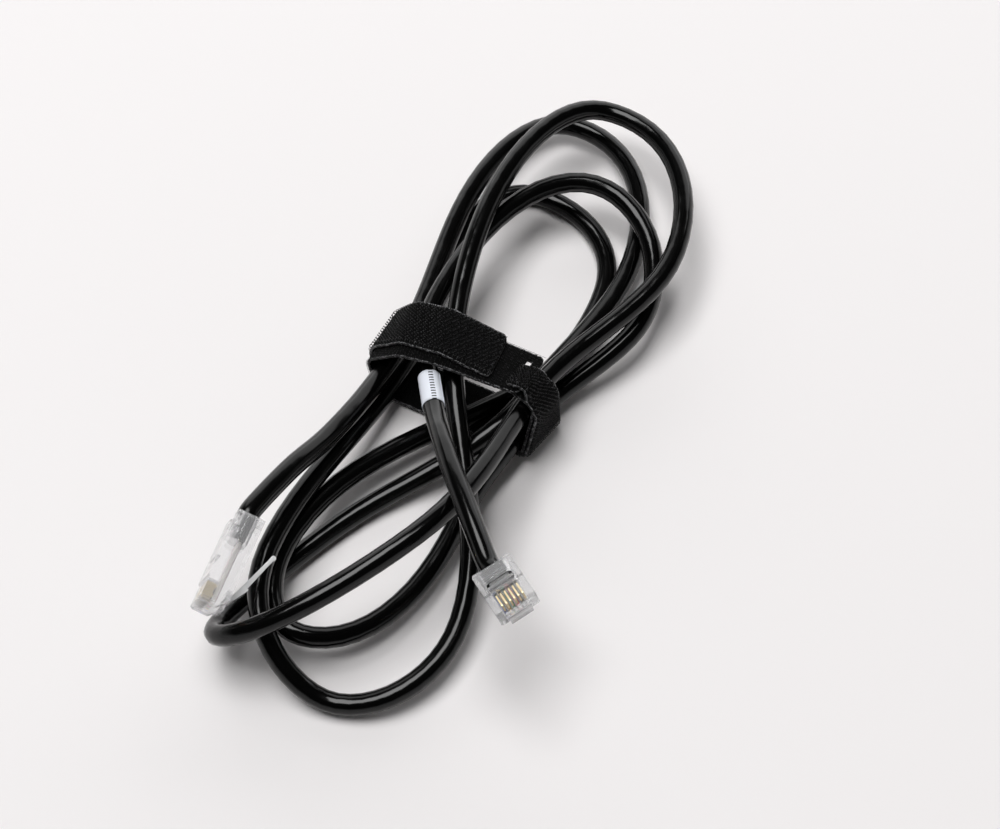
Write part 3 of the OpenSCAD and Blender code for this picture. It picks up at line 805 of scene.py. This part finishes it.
def moulded_copy(node_name, name, material, edge):
    """A copy of a CAD node, with flat faces joined up and sharp edges rounded."""
    shape = bmesh.new()
    shape.from_mesh(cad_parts[node_name].data)
    bmesh.ops.remove_doubles(shape, verts=shape.verts, dist=weld_distance)
    bmesh.ops.dissolve_limit(
        shape, angle_limit=flat_within, verts=shape.verts, edges=shape.edges,
    )
    made = object_from(name, shape, material)
    moulded_edge = made.modifiers.new("moulded_edge", "BEVEL")
    moulded_edge.width = edge
    moulded_edge.segments = 2
    moulded_edge.limit_method = "ANGLE"
    moulded_edge.angle_limit = sharp_over
    moulded_edge.use_clamp_overlap = True
    return made


def clear_plastic(name, clearness, cover):
    """Polycarbonate with faint flow lines. Cover is how much of its thin walls shows at
    all, and clearness how much of the light that meets them is bent and not scattered."""
    made, tree = new_material(name)
    where = add(tree, "ShaderNodeTexCoord")
    flow = add(
        tree, "ShaderNodeTexNoise", {"Scale": 1 / flow_size, "Detail": 1.0},
        {"Vector": where.outputs["Object"]},
    )
    flow_bump = add(
        tree, "ShaderNodeBump", {"Strength": 0.05, "Distance": 0.2 * mm},
        {"Height": flow.outputs["Fac"]},
    )
    shader = add(
        tree, "ShaderNodeBsdfPrincipled",
        {
            "Base Color": linear("#fbfbfc"), "Roughness": 0.08, "IOR": 1.45,
            "Transmission Weight": clearness, "Alpha": cover,
        },
        {"Normal": flow_bump.outputs[0]},
    )
    add(tree, "ShaderNodeOutputMaterial", {}, {"Surface": shader.outputs[0]})
    return made


clear = clear_plastic("clear_moulded_polycarbonate", 0.78, 0.72)
lever_clear = clear_plastic("polycarbonate_whitened_by_bending", 0.3, 1.0)
for plug in ("eight_way", "six_way"):
    shell = moulded_copy(plug + "_housing", plug + "_clear_shell", clear, shell_edge)
    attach(shell, "cord")
    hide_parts(plug + "_housing")
    lever = moulded_copy(plug + "_latch", plug + "_clear_lever", lever_clear, lever_edge)
    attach(lever, plug + "_latch_lever")
    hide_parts(plug + "_latch")

    # The pressed-in bar is of the same moulding, and the jacket's end is the cord's own
    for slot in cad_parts[plug + "_strain_bar"].material_slots:
        slot.material = clear
    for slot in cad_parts[plug + "_jacket_end"].material_slots:
        slot.material = pvc

# The contacts. Phosphor bronze blades with a thin gold plate, stamped from rolled strip
# and pressed into the slots of the housings.

# Gold plate: pale and satin, not mirror bright. The strip's fine grain is drawn coarse
# enough to show.
stamp_size = 0.667 * mm
gold, tree = new_material("gold_plated_contact")
where = add(tree, "ShaderNodeTexCoord")
stamp = add(
    tree, "ShaderNodeTexNoise", {"Scale": 1 / stamp_size, "Detail": 2.0},
    {"Vector": where.outputs["Object"]},
)
stamp_bump = add(
    tree, "ShaderNodeBump", {"Strength": 0.06, "Distance": 0.1 * mm},
    {"Height": stamp.outputs["Fac"]},
)
shader = add(
    tree, "ShaderNodeBsdfPrincipled",
    {"Base Color": linear("#eddcb6"), "Metallic": 1.0, "Roughness": 0.42},
    {"Normal": stamp_bump.outputs[0]},
)
add(tree, "ShaderNodeOutputMaterial", {}, {"Surface": shader.outputs[0]})

for plug in ("eight_way", "six_way"):
    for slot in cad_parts[plug + "_contacts"].material_slots:
        slot.material = gold

# The wires. Six stranded wires in extruded, coloured polyolefin, about 0.94 mm over the
# insulation, laid flat side by side under the blades.

waver_size = 1.11 * mm
wire_colours = {
    "white": "#f6f2ec", "black": "#141414", "red": "#e0525c",
    "green": "#1f7d45", "yellow": "#dcae3c", "blue": "#2b4b9a",
}

# Polyolefin: one even colour, half glossy, with a faint waver of its extruded skin
for colour_name, colour in wire_colours.items():
    sleeve, tree = new_material("wire_insulation_" + colour_name)
    where = add(tree, "ShaderNodeTexCoord")
    waver = add(
        tree, "ShaderNodeTexNoise", {"Scale": 1 / waver_size}, {"Vector": where.outputs["Object"]},
    )
    waver_bump = add(
        tree, "ShaderNodeBump", {"Strength": 0.1, "Distance": 0.1 * mm},
        {"Height": waver.outputs["Fac"]},
    )
    shader = add(
        tree, "ShaderNodeBsdfPrincipled", {"Base Color": linear(colour), "Roughness": 0.4},
        {"Normal": waver_bump.outputs[0]},
    )
    add(tree, "ShaderNodeOutputMaterial", {}, {"Surface": shader.outputs[0]})
    for plug in ("eight_way", "six_way"):
        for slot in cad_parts[f"{plug}_wire_{colour_name}"].material_slots:
            slot.material = sleeve
